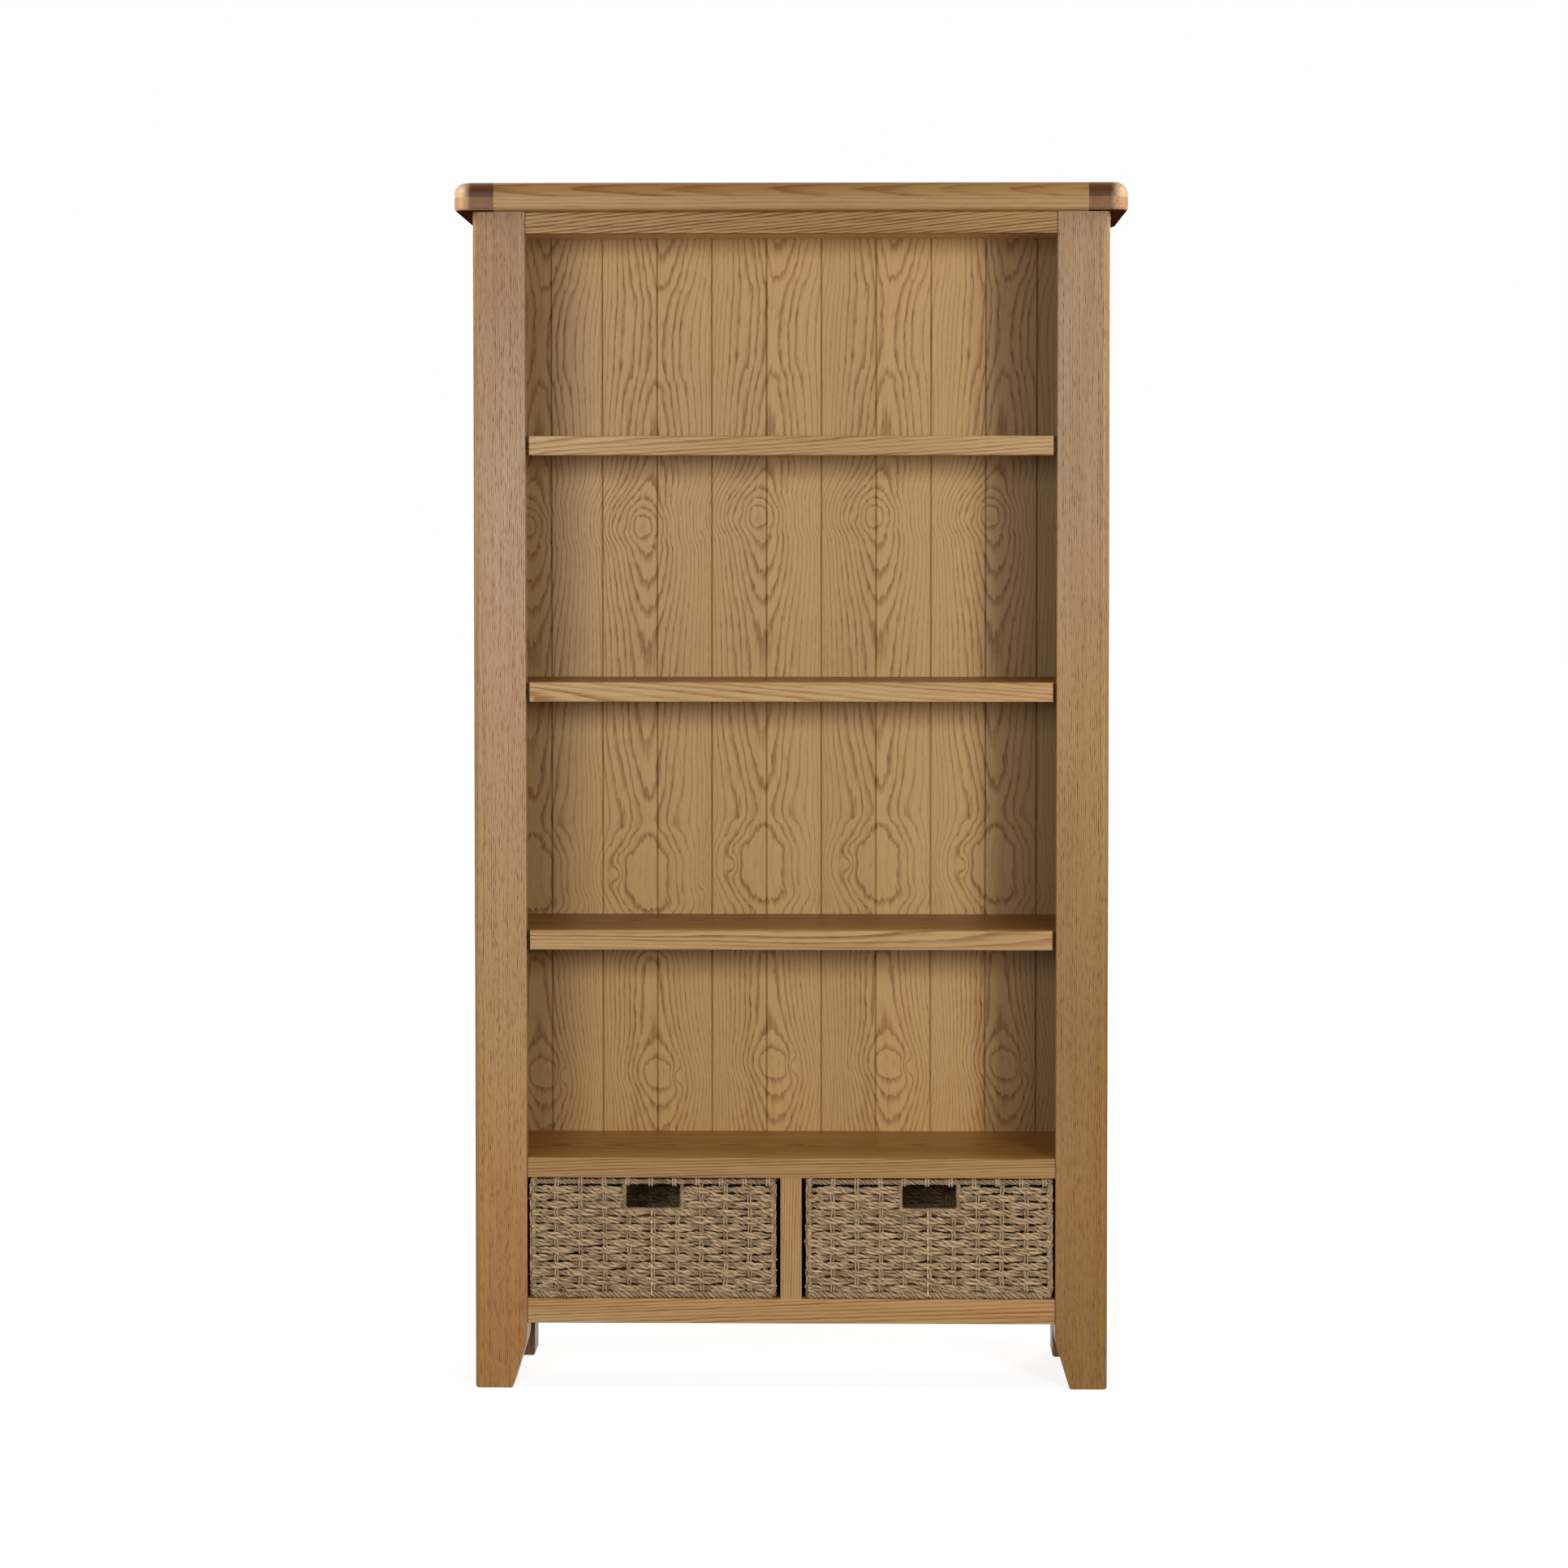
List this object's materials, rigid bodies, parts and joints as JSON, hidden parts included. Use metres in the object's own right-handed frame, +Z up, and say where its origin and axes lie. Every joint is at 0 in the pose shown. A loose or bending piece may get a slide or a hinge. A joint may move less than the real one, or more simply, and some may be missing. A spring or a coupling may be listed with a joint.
{
  "type": "bookcase",
  "caption": "Tall oak bookcase with an overhanging top, adjustable shelves, a grooved back, and woven baskets on its bottom board behind a low rail.",
  "frame": {"origin": "on the floor, under the middle of the top", "axes": "+X to the right as seen from the front, +Y to the back, +Z up"},
  "size_m": [1, 0.35, 1.8],
  "materials": {
    "solid_oak": "oiled, satin",
    "end_grain_oak": "oiled, satin",
    "oak_veneer": "lacquered, satin",
    "grooved_oak_veneer": "lacquered, satin",
    "plain_oak": "planed",
    "nickel_steel": "nickel plated",
    "zinc_steel": "zinc plated",
    "coated_wire": "matte coating",
    "seagrass_rope": "woven"
  },
  "bodies": {
    "carcass": {"back_panel": "grooved_oak_veneer", "basket_guide_left": "plain_oak", "basket_guide_right": "plain_oak", "bottom_board": "oak_veneer", "bottom_cleat_left": "plain_oak", "bottom_cleat_right": "plain_oak", "bottom_front_rail": "solid_oak", "bottom_rear_rail": "solid_oak", "carcass_top": "oak_veneer", "cleat_screws": "zinc_steel", "divider_panel": "oak_veneer", "divider_post": "solid_oak", "fixed_shelf_board": "oak_veneer", "fixed_shelf_cleat_left": "plain_oak", "fixed_shelf_cleat_right": "plain_oak", "fixed_shelf_rail": "solid_oak", "front_post_left": "solid_oak", "front_post_right": "solid_oak", "rear_bracket_left": "plain_oak", "rear_bracket_right": "plain_oak", "rear_post_left": "solid_oak", "rear_post_right": "solid_oak", "shelf_pins_1": "nickel_steel", "shelf_pins_2": "nickel_steel", "shelf_pins_3": "nickel_steel", "side_bottom_rail_left": "solid_oak", "side_bottom_rail_right": "solid_oak", "side_panel_left": "oak_veneer", "side_panel_right": "oak_veneer", "side_top_rail_left": "solid_oak", "side_top_rail_right": "solid_oak", "top_board": "solid_oak", "top_cleat_left": "end_grain_oak", "top_cleat_right": "end_grain_oak", "top_front_rail": "solid_oak", "top_rear_rail": "solid_oak", "top_screws": "zinc_steel", "top_under_cleat_left": "end_grain_oak", "top_under_cleat_right": "end_grain_oak", "top_under_strip_front": "solid_oak", "top_under_strip_rear": "solid_oak"},
    "basket_left": {"basket_weave_left": "seagrass_rope", "basket_frame_left": "coated_wire"},
    "basket_right": {"basket_weave_right": "seagrass_rope", "basket_frame_right": "coated_wire"},
    "shelf_1": {"shelf_1_board": "oak_veneer", "shelf_1_lipping": "solid_oak"},
    "shelf_2": {"shelf_2_board": "oak_veneer", "shelf_2_lipping": "solid_oak"},
    "shelf_3": {"shelf_3_board": "oak_veneer", "shelf_3_lipping": "solid_oak"}
  },
  "joints": [
    {"name": "basket_left_pull", "type": "slide", "parent": "carcass", "child": "basket_left", "axis": [0, -1, 0], "range_m": [0, 0.29]},
    {"name": "basket_right_pull", "type": "slide", "parent": "carcass", "child": "basket_right", "axis": [0, -1, 0], "range_m": [0, 0.29]},
    {"name": "shelf_1_lift", "type": "slide", "parent": "carcass", "child": "shelf_1", "axis": [0, 0, 1], "range_m": [0, 0.05]},
    {"name": "shelf_2_lift", "type": "slide", "parent": "carcass", "child": "shelf_2", "axis": [0, 0, 1], "range_m": [0, 0.05]},
    {"name": "shelf_3_lift", "type": "slide", "parent": "carcass", "child": "shelf_3", "axis": [0, 0, 1], "range_m": [0, 0.05]}
  ]
}
